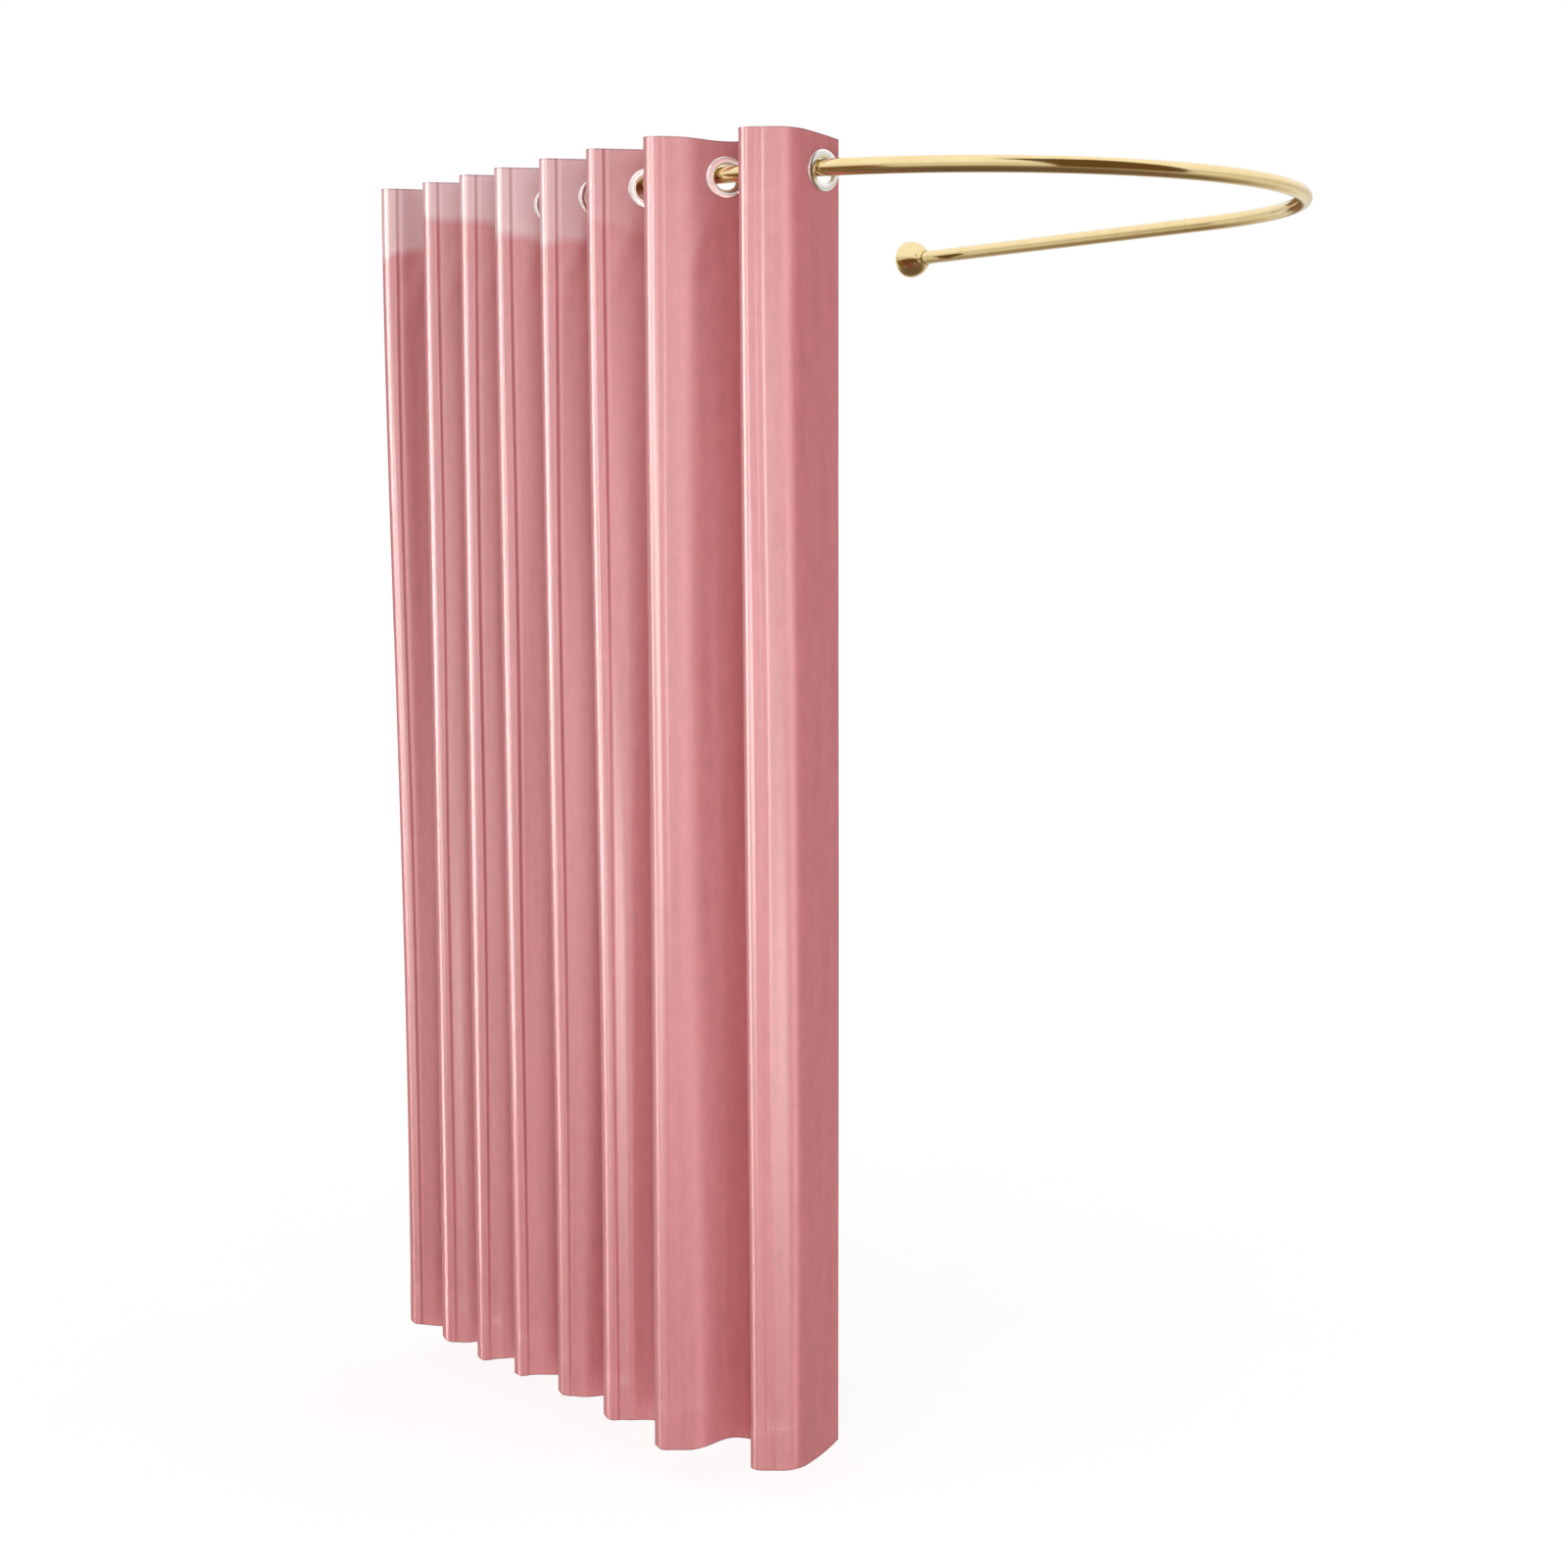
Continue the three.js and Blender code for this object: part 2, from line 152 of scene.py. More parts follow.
# How far a fold's sides run on straight before they curve, as shares of their length, and the
# gain of that where the last fold but one leaves its round edge
FOLD_EASE_SHARE = 0.42
LEAVING_EASE_GAINS = {12: 1.15}
# Half of the straight stretch that an eyelet holds, and the cloth past the outermost eyelets
FLAT_HALF = 0.033
EDGE_LENGTH = 0.033

# How the folds loosen towards the hem
LOOSE_POWER = 0.8
HEM_RADIUS_GAIN_SHARE = 0.10
HEM_SWAY = 0.005
SWAY_TURN = 2.3
SWAY_START = 0.7

# Cloth
CURTAIN_HEIGHT = 2.0
HEADER_ABOVE = 0.055
CLOTH_LOW = HEADER_ABOVE - CURTAIN_HEIGHT
CLOTH_THICKNESS = 0.0012
CLOTH_HOLE_RADIUS = 0.028
HEADER_BAND = 0.090
BOTTOM_HEM = 0.065
SIDE_HEM = 0.024
HEM_STEP = 0.0007
HEM_STEP_WIDTH = 0.002

# Where each outward fold's two pressed creases run, in metres past the end of its round edge, how
# they wander over the height, and the low ridge that follows them
CREASE_PLACES = [(-0.0076, 0.0045)] * 6 + [(-0.0098, 0.0024), (-0.0033, 0.0105)]
CREASE_DEPTH = 0.00045
CREASE_WIDTH = 0.0018
CREASE_WANDER = 0.0010
CREASE_WANDER_RATE = 5.0
CREASE_WANDER_START = 9.0
RIDGE_HEIGHT = 0.0006
RIDGE_WIDTH = 0.0034
RIDGE_AFTER_CREASE = 0.006

# Slanting dents below every second eyelet: how far they lean, widen and reach below its ring
DENT_DEPTH = 0.0015
DENT_AHEAD = 0.012
DENT_SLANT = 0.42
DENT_WIDTH = 0.010
DENT_WIDENING = 0.06
DENT_BEGINS = (0.0, 0.04)
DENT_ENDS = (0.06, 0.16)

# Long shallow waves and the finer ones over them, as height and radians for each metre
WAVE_HEIGHT = 0.0010
WAVE_RATE = 38.0
WAVE_WANDER = 2.0
WAVE_WANDER_RATE = 1.7
RIPPLE_HEIGHT = 0.0006
RIPPLE_RATE = 71.0
RIPPLE_SLANT = 2.1
WAVES_BEGIN = (0.10, 1.1)

# How the cloth's edges leave the level near the leading edge, behind the last fold but one and at
# the hem's corners, and the hem's waves as height, radians for each metre and start
LEAD_DROOP = 0.012
LEAD_LIFT = 0.034
LEAD_WIDTH = 0.115
LEAD_POWER = 1.6
FRONT_DROOP = 0.006
FRONT_LIFT = 0.012
FRONT_WIDTH = 0.055
DROOP_BEGINS = 0.030
LIFT_BEGINS = 0.4
CORNER_LIFT = 0.006
CORNER_WIDTH = 0.011
CORNER_BEFORE_EDGE = 0.026
HEM_WAVES = [(0.0022, 21.0, 0.0), (0.0014, 57.0, 1.0)]
HEM_WAVES_BEGIN = 1.2

# The cloth's mesh: columns are finer beside the folds' round edges, and a square patch of rings
# surrounds each hole
COLUMN_STEP = 0.0045
FINE_STEP = 0.0014
FINE_BEFORE_EDGE = 0.014
FINE_AFTER_EDGE = 0.024
HOLE_PATCH = 0.032
PATCH_STEPS = 8
PATCH_RINGS = 4
ROW_STEP = 0.02
TOP_ROWS = 4
BELOW_PATCH_ROWS = 3
HEM_ROWS = 5
BESIDE_HEM = 0.001
NEAR_HEM = 0.003
NORMAL_STEP = 0.0008
SAME_PLACE = 1e-7
KEYS_A_METRE = 1e7
CLOTH_SHARP_DEGREES = 60

# Points of each fold's line in plan, and the depths at which it is drawn, half of them near the top
EASE_POINTS = 50
ROUND_EDGE_POINTS = 40
PATH_SAMPLES = 420
LEVELS = 48
TOP_LEVELS_DEPTH = 0.3

# Colours
WHITE = (1.0, 1.0, 1.0, 1.0)
BLACK = (0.0, 0.0, 0.0, 1.0)
CLOTH_TONES = [
    (0.30, (0.50, 0.158, 0.166)),
    (0.50, (0.56, 0.180, 0.190)),
    (0.70, (0.62, 0.202, 0.212)),
]
# Painted highlight: the header band is mixed towards this paler, greyer colour for the light the
# stiff band catches
HEADER_HIGHLIGHT_COLOUR = (0.74, 0.50, 0.51)
HEADER_HIGHLIGHT_STRENGTH = 0.70
HEADER_FADE = 0.012
HEADER_UNEVEN = 0.06
# Between these distances along the cloth, the painted highlight on the header fades out
HEADER_HIGHLIGHT_UNTIL = (1.3, 2.3)
# How far below the cloth's top the painted highlight on the header reaches, by the distance along
# the cloth
HEADER_DEPTHS = [
    (0.10, 0.122), (0.36, 0.062), (0.54, 0.062), (0.80, 0.070), (1.10, 0.114), (1.50, 0.122),
]
# Painted shade: a darker line along the cloth's top and bottom edges
RIM_SHADE_COLOUR = (0.30, 0.10, 0.11)
RIM_WIDTH = 0.003

# Surfaces: a noise as its scale, or one along each axis, its detail and its roughness, the
# metals' without the scale, and a bump as its strength and its depth
CLOTH_STREAKS = ((70.0, 3.0, 1.0), 4.0, 0.6)
CLOTH_MOTTLE = ((60.0, 30.0, 1.0), 4.0, 0.6)
CLOTH_PATCHES = ((14.0, 9.0, 1.0), 2.0, 0.5)
CLOTH_WEAVE = ((1500.0, 700.0, 1.0), 2.0, 0.5)
CLOTH_SLUBS = ((90.0, 500.0, 1.0), 3.0, 0.6)
CLOTH_WEAVE_BUMP = (0.25, 0.0004)
CLOTH_SLUB_BUMP = (0.18, 0.0006)
CLOTH_ROUGHNESS = (0.31, 0.41)
CLOTH_SPECULAR = 0.3
NOISE_MEAN = 0.5
METAL_WEAR = (4.0, 0.6)
METAL_SCRATCHES = (2.0, 0.7)
METAL_WEAR_STOPS = (0.3, 0.7)
METAL_POLISH_SHARES = (0.75, 1.3)
SCRATCH_STRENGTH = 0.12
FLOOR_MOTTLE = (3.0, 2.0, 0.5)
FLOOR_TONES = (0.36, 0.40)
FLOOR_ROUGHNESS = 0.8

# Camera: the photograph's, in degrees and metres
CAMERA_PLACE = Vector((-2.9817, -4.8143, -0.5075))
CAMERA_YAW = 33.95
CAMERA_PITCH = -5.15
CAMERA_ROLL = -0.095
CAMERA_LENS_MM = 68.2
SENSOR_MM = 36.0
CAMERA_FAR = 200.0

# What the metal mirrors: brightness from straight down to straight up, then the dark areas as
# (left, right), (low, high) in degrees, azimuths from -Y towards +X
REFLECTED_BANDS = [
    (0.00, (0.16, 0.11, 0.08)),
    (0.07, (0.24, 0.18, 0.13)),
    (0.18, (0.62, 0.57, 0.48)),
    (0.34, (0.88, 0.86, 0.80)),
    (0.46, (0.70, 0.68, 0.63)),
    (0.56, (0.74, 0.72, 0.68)),
    (0.72, (1.02, 1.01, 1.00)),
    (1.00, (1.10, 1.10, 1.10)),
]
REFLECTED_DARKS = [((-140, -60), (-40, -4)), ((138, 163), (-14, 13))]
REFLECTED_SOFTNESS = 0.05
REFLECTED_DARK_COLOUR = (0.22, 0.12, 0.05)
AMBIENT_COLOUR = (1.0, 0.98, 0.98)
AMBIENT_LEVEL = 0.45

# Lamps as azimuth, height, distance, size, power and colour: one lights the cloth, and tall
# ones only shine on it
CURTAIN_MIDDLE = (-0.4, -0.9)
FILL_LAMP = (-36.0, -0.2, 8.0, (2.7, 4.0), 115.0, (1.0, 1.0, 1.0))
SHINE_LAMPS = {
    "front": (-26.0, -1.3, 5.0, (2.4, 5.0), 420.0, (0.96, 0.98, 1.0)),
    "nose": (-68.0, -1.3, 5.0, (1.2, 5.0), 1150.0, (0.98, 0.97, 0.92)),
    "rim": (-110.0, -1.3, 5.0, (1.9, 5.0), 1350.0, (0.98, 0.97, 0.92)),
}

# Dark boards that only mirrors show: a slanting one in front of the rail, and two small ones
# beside the right cover
BOARDS = [
    [(-0.55, -2.00, 1.30), (0.25, -2.00, 1.30), (0.50, -2.00, -0.35), (-0.25, -2.00, -0.35)],
    [(0.48, -0.09, -0.005), (0.54, -0.09, -0.005), (0.54, -0.09, -0.05), (0.48, -0.09, -0.05)],
    [(0.48, 0.00, -0.005), (0.48, -0.09, -0.005), (0.48, -0.09, -0.05), (0.48, 0.00, -0.05)],
]
BOARD_COLOUR = (0.14, 0.08, 0.03)

FLOOR_BELOW_HEM = 0.05
FLOOR_HALF = 30.0
FLOOR_PALE_RADIUS = 1.5
FLOOR_WHITE_RADIUS = 5.0
FLOOR_NEAR_GLOW = 0.80


def add_object(name, vertices, faces, material, smooth=True):
    mesh = bpy.data.meshes.new(name)
    mesh.from_pydata([tuple(v) for v in vertices], [], faces)
    mesh.validate()
    mesh.update()
    if smooth:
        mesh.polygons.foreach_set("use_smooth", [True] * len(mesh.polygons))
    mesh.materials.append(material)
    obj = bpy.data.objects.new(name, mesh)
    scene.collection.objects.link(obj)
    return obj


def sharpen(obj, degrees):
    """Marks the edges that turn by more than an angle as sharp."""
    obj.data.set_sharp_from_angle(angle=math.radians(degrees))


def ring_faces(rings, sides):
    """Quads between rings of points, the last ring joined to the first one."""
    faces = []
    for ring in range(rings):
        here = ring * sides
        after = (ring + 1) % rings * sides
        for k in range(sides):
            beside = (k + 1) % sides
            faces.append((here + k, here + beside, after + beside, after + k))
    return faces


# Materials


def new_material(name):
    material = bpy.data.materials.new(name)
    material.use_nodes = True
    tree = material.node_tree
    shader = tree.nodes["Principled BSDF"]
    return material, tree, shader


def add_node(tree, kind, **settings):
    node = tree.nodes.new(kind)
    for key, value in settings.items():
        setattr(node, key, value)
    return node


def noise(tree, vector, scale, detail, roughness):
    """A noise with one scale, or with one along each axis."""
    if isinstance(scale, tuple):
        stretch = add_node(tree, "ShaderNodeMapping")
        stretch.inputs["Scale"].default_value = scale
        tree.links.new(vector, stretch.inputs["Vector"])
        vector = stretch.outputs["Vector"]
        scale = 1.0
    node = add_node(tree, "ShaderNodeTexNoise")
    node.inputs["Scale"].default_value = scale
    node.inputs["Detail"].default_value = detail
    node.inputs["Roughness"].default_value = roughness
    tree.links.new(vector, node.inputs["Vector"])
    return node.outputs["Fac"]


def ramp(tree, factor, stops):
    node = add_node(tree, "ShaderNodeValToRGB")
    elements = node.color_ramp.elements
    while len(elements) < len(stops):
        elements.new(0.5)
    for element, (place, colour) in zip(elements, stops):
        element.position = place
        element.color = (*colour, 1.0)
    tree.links.new(factor, node.inputs["Fac"])
    return node.outputs["Color"]


def remap(tree, value, low, high):
    node = add_node(tree, "ShaderNodeMapRange")
    node.inputs["To Min"].default_value = low
    node.inputs["To Max"].default_value = high
    tree.links.new(value, node.inputs["Value"])
    return node.outputs["Result"]


def calculate(tree, operation, *values):
    """A math node over sockets and numbers."""
    node = add_node(tree, "ShaderNodeMath", operation=operation)
    for socket, value in zip(node.inputs, values):
        if isinstance(value, (int, float)):
            socket.default_value = value
        else:
            tree.links.new(value, socket)
    return node.outputs["Value"]


def rising(tree, value, low, high):
    """0 below low, 1 above high and a smooth step between them."""
    node = add_node(tree, "ShaderNodeMapRange", interpolation_type="SMOOTHSTEP")
    node.inputs["From Min"].default_value = low
    node.inputs["From Max"].default_value = high
    tree.links.new(value, node.inputs["Value"])
    return node.outputs["Result"]


def falling(tree, value, low, high):
    """1 below low and 0 above high."""
    return calculate(tree, "SUBTRACT", 1.0, rising(tree, value, low, high))


def window(tree, value, low, high, soft):
    """1 between low and high, and 0 further out than the soft border."""
    enter = rising(tree, value, low - soft, low + soft)
    leave = rising(tree, value, high - soft, high + soft)
    return calculate(tree, "SUBTRACT", enter, leave)


def mixed(tree, factor, first, second):
    """From a colour socket to a constant colour by a factor."""
    node = add_node(tree, "ShaderNodeMix", data_type="RGBA")
    tree.links.new(factor, node.inputs["Factor"])
    tree.links.new(first, node.inputs["A"])
    node.inputs["B"].default_value = (*second, 1.0)
    return node.outputs["Result"]


def bump(tree, height, strength, distance, normal=None):
    node = add_node(tree, "ShaderNodeBump")
    node.inputs["Strength"].default_value = strength
    node.inputs["Distance"].default_value = distance
    tree.links.new(height, node.inputs["Height"])
    if normal is not None:
        tree.links.new(normal, node.inputs["Normal"])
    return node.outputs["Normal"]


def metal(name, light, dark, roughness, wear_scale, scratch_scale, scratch_depth):
    """Metal with faint uneven polish and hairline scratches."""
    material, tree, shader = new_material(name)
    place = add_node(tree, "ShaderNodeTexCoord").outputs["Object"]
    wear = noise(tree, place, wear_scale, *METAL_WEAR)
    colour = ramp(tree, wear, list(zip(METAL_WEAR_STOPS, (dark, light))))
    tree.links.new(colour, shader.inputs["Base Color"])
    shader.inputs["Metallic"].default_value = 1.0
    polish = remap(tree, wear, *(roughness * share for share in METAL_POLISH_SHARES))
    tree.links.new(polish, shader.inputs["Roughness"])
    scratches = noise(tree, place, scratch_scale, *METAL_SCRATCHES)
    scratched = bump(tree, scratches, SCRATCH_STRENGTH, scratch_depth)
    tree.links.new(scratched, shader.inputs["Normal"])
    return material


def cloth_material():
    """Cloth with a soft shine. The mesh's UV map holds metres along and up the flat sheet."""
    material, tree, shader = new_material("rose_velvet")
    uv = add_node(tree, "ShaderNodeUVMap", uv_map="cloth_metres").outputs["UV"]
    streaks = noise(tree, uv, *CLOTH_STREAKS)
    mottle = noise(tree, uv, *CLOTH_MOTTLE)
    tone = calculate(tree, "MULTIPLY", calculate(tree, "ADD", streaks, mottle), 0.5)
    body = ramp(tree, tone, CLOTH_TONES)
    parts = add_node(tree, "ShaderNodeSeparateXYZ")
    tree.links.new(uv, parts.inputs["Vector"])
    along, up = parts.outputs["X"], parts.outputs["Y"]

    # Painted highlight on the header band, with an uneven lower border, fading out along the cloth
    patches = noise(tree, uv, *CLOTH_PATCHES)
    uneven = calculate(tree, "SUBTRACT", patches, NOISE_MEAN)
    border = calculate(tree, "MULTIPLY", uneven, HEADER_UNEVEN)
    width = HEADER_DEPTHS[-1][0]
    across = calculate(tree, "DIVIDE", along, width)
    depth = ramp(tree, across, [(x / width, (deep, deep, deep)) for x, deep in HEADER_DEPTHS])
    raised = calculate(tree, "ADD", calculate(tree, "ADD", up, border), depth)
    header = rising(tree, raised, HEADER_ABOVE - HEADER_FADE, HEADER_ABOVE + HEADER_FADE)
    faded = falling(tree, along, *HEADER_HIGHLIGHT_UNTIL)
    highlight_strength = calculate(tree, "MULTIPLY", faded, HEADER_HIGHLIGHT_STRENGTH)
    highlighted = mixed(tree, calculate(tree, "MULTIPLY", header, highlight_strength), body, HEADER_HIGHLIGHT_COLOUR)

    # Painted shade along the cloth's top and bottom edges
    top = rising(tree, up, HEADER_ABOVE - RIM_WIDTH, HEADER_ABOVE)
    bottom = falling(tree, up, CLOTH_LOW, CLOTH_LOW + RIM_WIDTH)
    colour = mixed(tree, calculate(tree, "MAXIMUM", top, bottom), highlighted, RIM_SHADE_COLOUR)
    tree.links.new(colour, shader.inputs["Base Color"])
    nap = remap(tree, mottle, *CLOTH_ROUGHNESS)
    tree.links.new(nap, shader.inputs["Roughness"])
    shader.inputs["Specular IOR Level"].default_value = CLOTH_SPECULAR
    weave = bump(tree, noise(tree, uv, *CLOTH_WEAVE), *CLOTH_WEAVE_BUMP)
    slubs = bump(tree, noise(tree, uv, *CLOTH_SLUBS), *CLOTH_SLUB_BUMP, normal=weave)
    tree.links.new(slubs, shader.inputs["Normal"])
    return material


def floor_material():
    """Pale and matt near the object, and glowing white further away, where it meets the
    background."""
    material, tree, shader = new_material("pale_floor")
    place = add_node(tree, "ShaderNodeTexCoord").outputs["Object"]
    tone = remap(tree, noise(tree, place, *FLOOR_MOTTLE), *FLOOR_TONES)
    tree.links.new(tone, shader.inputs["Base Color"])
    shader.inputs["Roughness"].default_value = FLOOR_ROUGHNESS
    shader.inputs["Specular IOR Level"].default_value = 0.0
    distance = add_node(tree, "ShaderNodeVectorMath", operation="LENGTH")
    tree.links.new(place, distance.inputs[0])
    far = add_node(tree, "ShaderNodeMapRange", interpolation_type="SMOOTHSTEP")
    far.inputs["From Min"].default_value = FLOOR_PALE_RADIUS
    far.inputs["From Max"].default_value = FLOOR_WHITE_RADIUS
    far.inputs["To Min"].default_value = FLOOR_NEAR_GLOW
    tree.links.new(distance.outputs["Value"], far.inputs["Value"])
    shader.inputs["Emission Color"].default_value = WHITE
    tree.links.new(far.outputs["Result"], shader.inputs["Emission Strength"])
    return material


GOLD = metal(
    "polished_gold", light=(0.90, 0.74, 0.42), dark=(0.85, 0.67, 0.34), roughness=0.12,
    wear_scale=35.0, scratch_scale=(900.0, 40.0, 900.0), scratch_depth=0.00004,
)
CHROME = metal(
    "eyelet_silver", light=(0.95, 0.93, 0.93), dark=(0.90, 0.88, 0.88), roughness=0.14,
    wear_scale=60.0, scratch_scale=(700.0, 700.0, 60.0), scratch_depth=0.00003,
)
STEEL = metal(
    "bare_steel", light=(0.60, 0.60, 0.61), dark=(0.48, 0.48, 0.49), roughness=0.32,
    wear_scale=50.0, scratch_scale=(500.0, 500.0, 90.0), scratch_depth=0.00005,
)
CLOTH = cloth_material()

# What the lamps light: the cloth and the floor. The metal mirrors only the studio around it
LIT = bpy.data.collections.new("lit_by_lamps")


# Rail


def rail_place(distance):
    """A point of the rail's axis in plan, with the directions along the rail and out of the U."""
    turn = min(max((distance - LEG_LENGTH) / BEND_RADIUS, 0.0), math.pi)
    along = np.array([math.sin(turn), -math.cos(turn)])
    outward = np.array([-math.cos(turn), -math.sin(turn)])
    straight = min(distance - LEG_LENGTH, 0.0)
    past = max(distance - LEG_LENGTH - BEND_RADIUS * math.pi, 0.0)
    point = np.array([0.0, -LEG_LENGTH]) + outward * BEND_RADIUS + along * (straight + past)
    return point, along, outward


def swept_tube(name, distances, material):
    """A hollow tube along the rail's axis, with chamfered ends."""
    inner = TUBE_RADIUS - TUBE_WALL
    stations = [(distances[0], TUBE_RADIUS - END_CHAMFER)]
    stations.append((distances[0] + END_CHAMFER, TUBE_RADIUS))
    stations += [(d, TUBE_RADIUS) for d in distances[1:-1]]
    stations.append((distances[-1] - END_CHAMFER, TUBE_RADIUS))
    stations.append((distances[-1], TUBE_RADIUS - END_CHAMFER))
    stations += [(d, inner) for d in reversed(distances)]
    points = []
    for distance, radius in stations:
        point, _, outward = rail_place(distance)
        for k in range(TUBE_SIDES):
            turn = 2 * math.pi * k / TUBE_SIDES
            plan = point + outward * (radius * math.cos(turn))
            points.append((plan[0], plan[1], radius * math.sin(turn)))
    faces = [(a, d, c, b) for a, b, c, d in ring_faces(len(stations), TUBE_SIDES)]
    obj = add_object(name, points, faces, material)
    sharpen(obj, METAL_SHARP_DEGREES)
    return obj


def make_rail():
    seam = -LEFT_LOW.y + PIECE_GAP / 2
    start = -LEFT_HIGH.y
    total = 2 * LEG_LENGTH + BEND_RADIUS * math.pi
    half_gap = PIECE_GAP / 2
    pieces = {
        "left_tube": np.linspace(start, seam - half_gap, LEG_STEPS),
        "front_bend": np.linspace(seam + half_gap, total - seam - half_gap, BEND_STEPS),
        "right_tube": np.linspace(total - seam + half_gap, total - start, LEG_STEPS),
    }
    for part, distances in pieces.items():
        obj = swept_tube(f"gold_{part}", list(distances), GOLD)
        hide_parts(f"rail_{part}")
        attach(obj, "rail")


def lathe(name, profile, sides, matrix, material, degrees):
    """A closed profile of (radius, height) points turned about the y axis of a frame."""
    vertices = []
    for radius, height in profile:
        for k in range(sides):
            turn = 2 * math.pi * k / sides
            place = Vector((radius * math.sin(turn), height, radius * math.cos(turn)))
            vertices.append(matrix @ place)
    obj = add_object(name, vertices, ring_faces(len(profile), sides), material)
    sharpen(obj, degrees)
    return obj


def arc(centre, radius, start, end, steps):
    """Points of an arc in a profile, angles in degrees from +radius towards +height."""
    turns = [math.radians(start + (end - start) * k / steps) for k in range(steps + 1)]
    return [(centre[0] + radius * math.cos(t), centre[1] + radius * math.sin(t)) for t in turns]


def make_cover(side, x):
    bore = TUBE_RADIUS + PIECE_GAP
    neck = bore + COVER_NECK_WALL
    neck_end = -COVER_DOME_DEPTH - COVER_NECK_LENGTH

    def dome(radius, depth, low):
        last = math.acos(low / radius)
        full = (depth - COVER_RIM) / math.sin(last)
        turns = [last * i / DOME_STEPS for i in range(DOME_STEPS + 1)]
        return [(radius * math.cos(t), -COVER_RIM - full * math.sin(t)) for t in turns]

    rim = COVER_EDGE_ROUND
    outside = dome(COVER_RADIUS, COVER_DOME_DEPTH, neck)
    inside = dome(COVER_RADIUS - COVER_WALL, COVER_DOME_DEPTH - COVER_WALL, bore)
    rim_edge = arc((COVER_RADIUS - rim, -COVER_WALL_GAP - rim), rim, 0, 180, RIM_STEPS)
    neck_edge = arc((bore + rim, neck_end + rim), rim, 180, 270, NECK_STEPS)
    neck_outer = arc((neck - rim, neck_end + rim), rim, 270, 360, NECK_STEPS)
    profile = rim_edge + inside + neck_edge + neck_outer + outside[::-1]
    place = Matrix.Translation((x, 0.0, 0.0))
    obj = lathe(f"gold_cover_{side}", profile, COVER_SIDES, place, GOLD, METAL_SHARP_DEGREES)
    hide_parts(f"cover_{side}")
    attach(obj, f"cover_{side}")


# Eyelets


def eyelet_place(index):
    """Where an eyelet hangs in plan, and which way the cloth runs through it."""
    point, along, outward = rail_place(EYELET_SHARES[index] * LEG_LENGTH)
    lean = math.radians(EYELET_LEANS[index])
    across = math.cos(lean) if index % 2 == 0 else -math.cos(lean)
    return point, outward * across + along * math.sin(lean)


def eyelet_matrix(index):
    point, run = eyelet_place(index)
    face = Vector((run[1], -run[0], 0.0))
    up = Vector((0.0, 0.0, 1.0))
    sideways = face.cross(up)
    turn = Matrix((sideways, face, up)).transposed().to_4x4()
    return Matrix.Translation((point[0], point[1], -EYELET_DROP)) @ turn


def eyelet_name(index):
    return f"{index // 2 + 1}{'ab'[index % 2]}"


def eyelet_body(index):
    return "rail" if index == TURN_EYELET else f"eyelet_{eyelet_name(index)}"


def face_ring_profile():
    """A flat rolled ring with a soft outer edge, and a barrel that goes through the cloth."""
    barrel = EYELET_HOLE_RADIUS + BARREL_WALL
    top = SEAT_HEIGHT + FACE_RING_HEIGHT
    low = -SEAT_HEIGHT - BACK_RING_HEIGHT
    rim = FACE_RING_HEIGHT * FACE_RIM_SHARE
    roll = FACE_RING_HEIGHT * FACE_ROLL_SHARE
    crown_radius = (EYELET_RADIUS + EYELET_HOLE_RADIUS) / 2
    outer = arc((EYELET_RADIUS - rim, top - rim), rim, 0, RING_EDGE_TURN, RING_EDGE_STEPS)
    centre = (EYELET_HOLE_RADIUS + roll, top - roll)
    inner = arc(centre, roll, 180 - RING_EDGE_TURN, 180, FACE_ROLL_STEPS)
    return [
        (EYELET_HOLE_RADIUS, low),
        (barrel, low),
        (barrel, SEAT_HEIGHT),
        (EYELET_RADIUS, SEAT_HEIGHT),
        *outer,
        (crown_radius, top + FACE_CROWN_RISE),
        *inner,
    ]


def back_ring_profile():
    bore = EYELET_HOLE_RADIUS + BARREL_WALL + PIECE_GAP
    low = -SEAT_HEIGHT - BACK_RING_HEIGHT
    rim = BACK_RING_HEIGHT * BACK_RIM_SHARE
    turn = RING_EDGE_TURN
    outer = arc((EYELET_RADIUS - rim, low + rim), rim, 360 - turn, 360, RING_EDGE_STEPS)
    inner = arc((bore + rim, low + rim), rim, 180, 180 + turn, RING_EDGE_STEPS)
    return [(bore, -SEAT_HEIGHT), *inner, *outer, (EYELET_RADIUS, -SEAT_HEIGHT)]


def make_eyelets():
    profiles = {"face": face_ring_profile(), "back": back_ring_profile()}
    for index in range(EYELET_COUNT):
        name = eyelet_name(index)
        place = eyelet_matrix(index)
        for half, profile in profiles.items():
            ring = f"ring_{name}_{half}"
            obj = lathe(ring, profile, EYELET_SIDES, place, CHROME, RING_SHARP_DEGREES)
            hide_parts(f"eyelet_{name}_{half}")
            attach(obj, eyelet_body(index))


# Cloth


def smooth_step(value, low, high):
    share = np.clip((value - low) / (high - low), 0.0, 1.0)
    return share * share * (3 - 2 * share)


def bell(distance, width):
    """1 at no distance, and fading to both sides over a width."""
    return np.exp(-((distance / width) ** 2))


def bezier(a, b, c, d, count):
    t = np.linspace(0.0, 1.0, count)[:, None]
    u = 1 - t
    return u**3 * a + 3 * u * u * t * b + 3 * u * t * t * c + t**3 * d


def even_points(points, count):
    """The same line with points at even distances along it, and its length."""
    steps = np.linalg.norm(np.diff(points, axis=0), axis=1)
    place = np.concatenate([[0.0], np.cumsum(steps)])
    wanted = np.linspace(0.0, place[-1], count)
    even = [np.interp(wanted, place, points[:, axis]) for axis in range(2)]
    return np.stack(even, axis=1), place[-1]


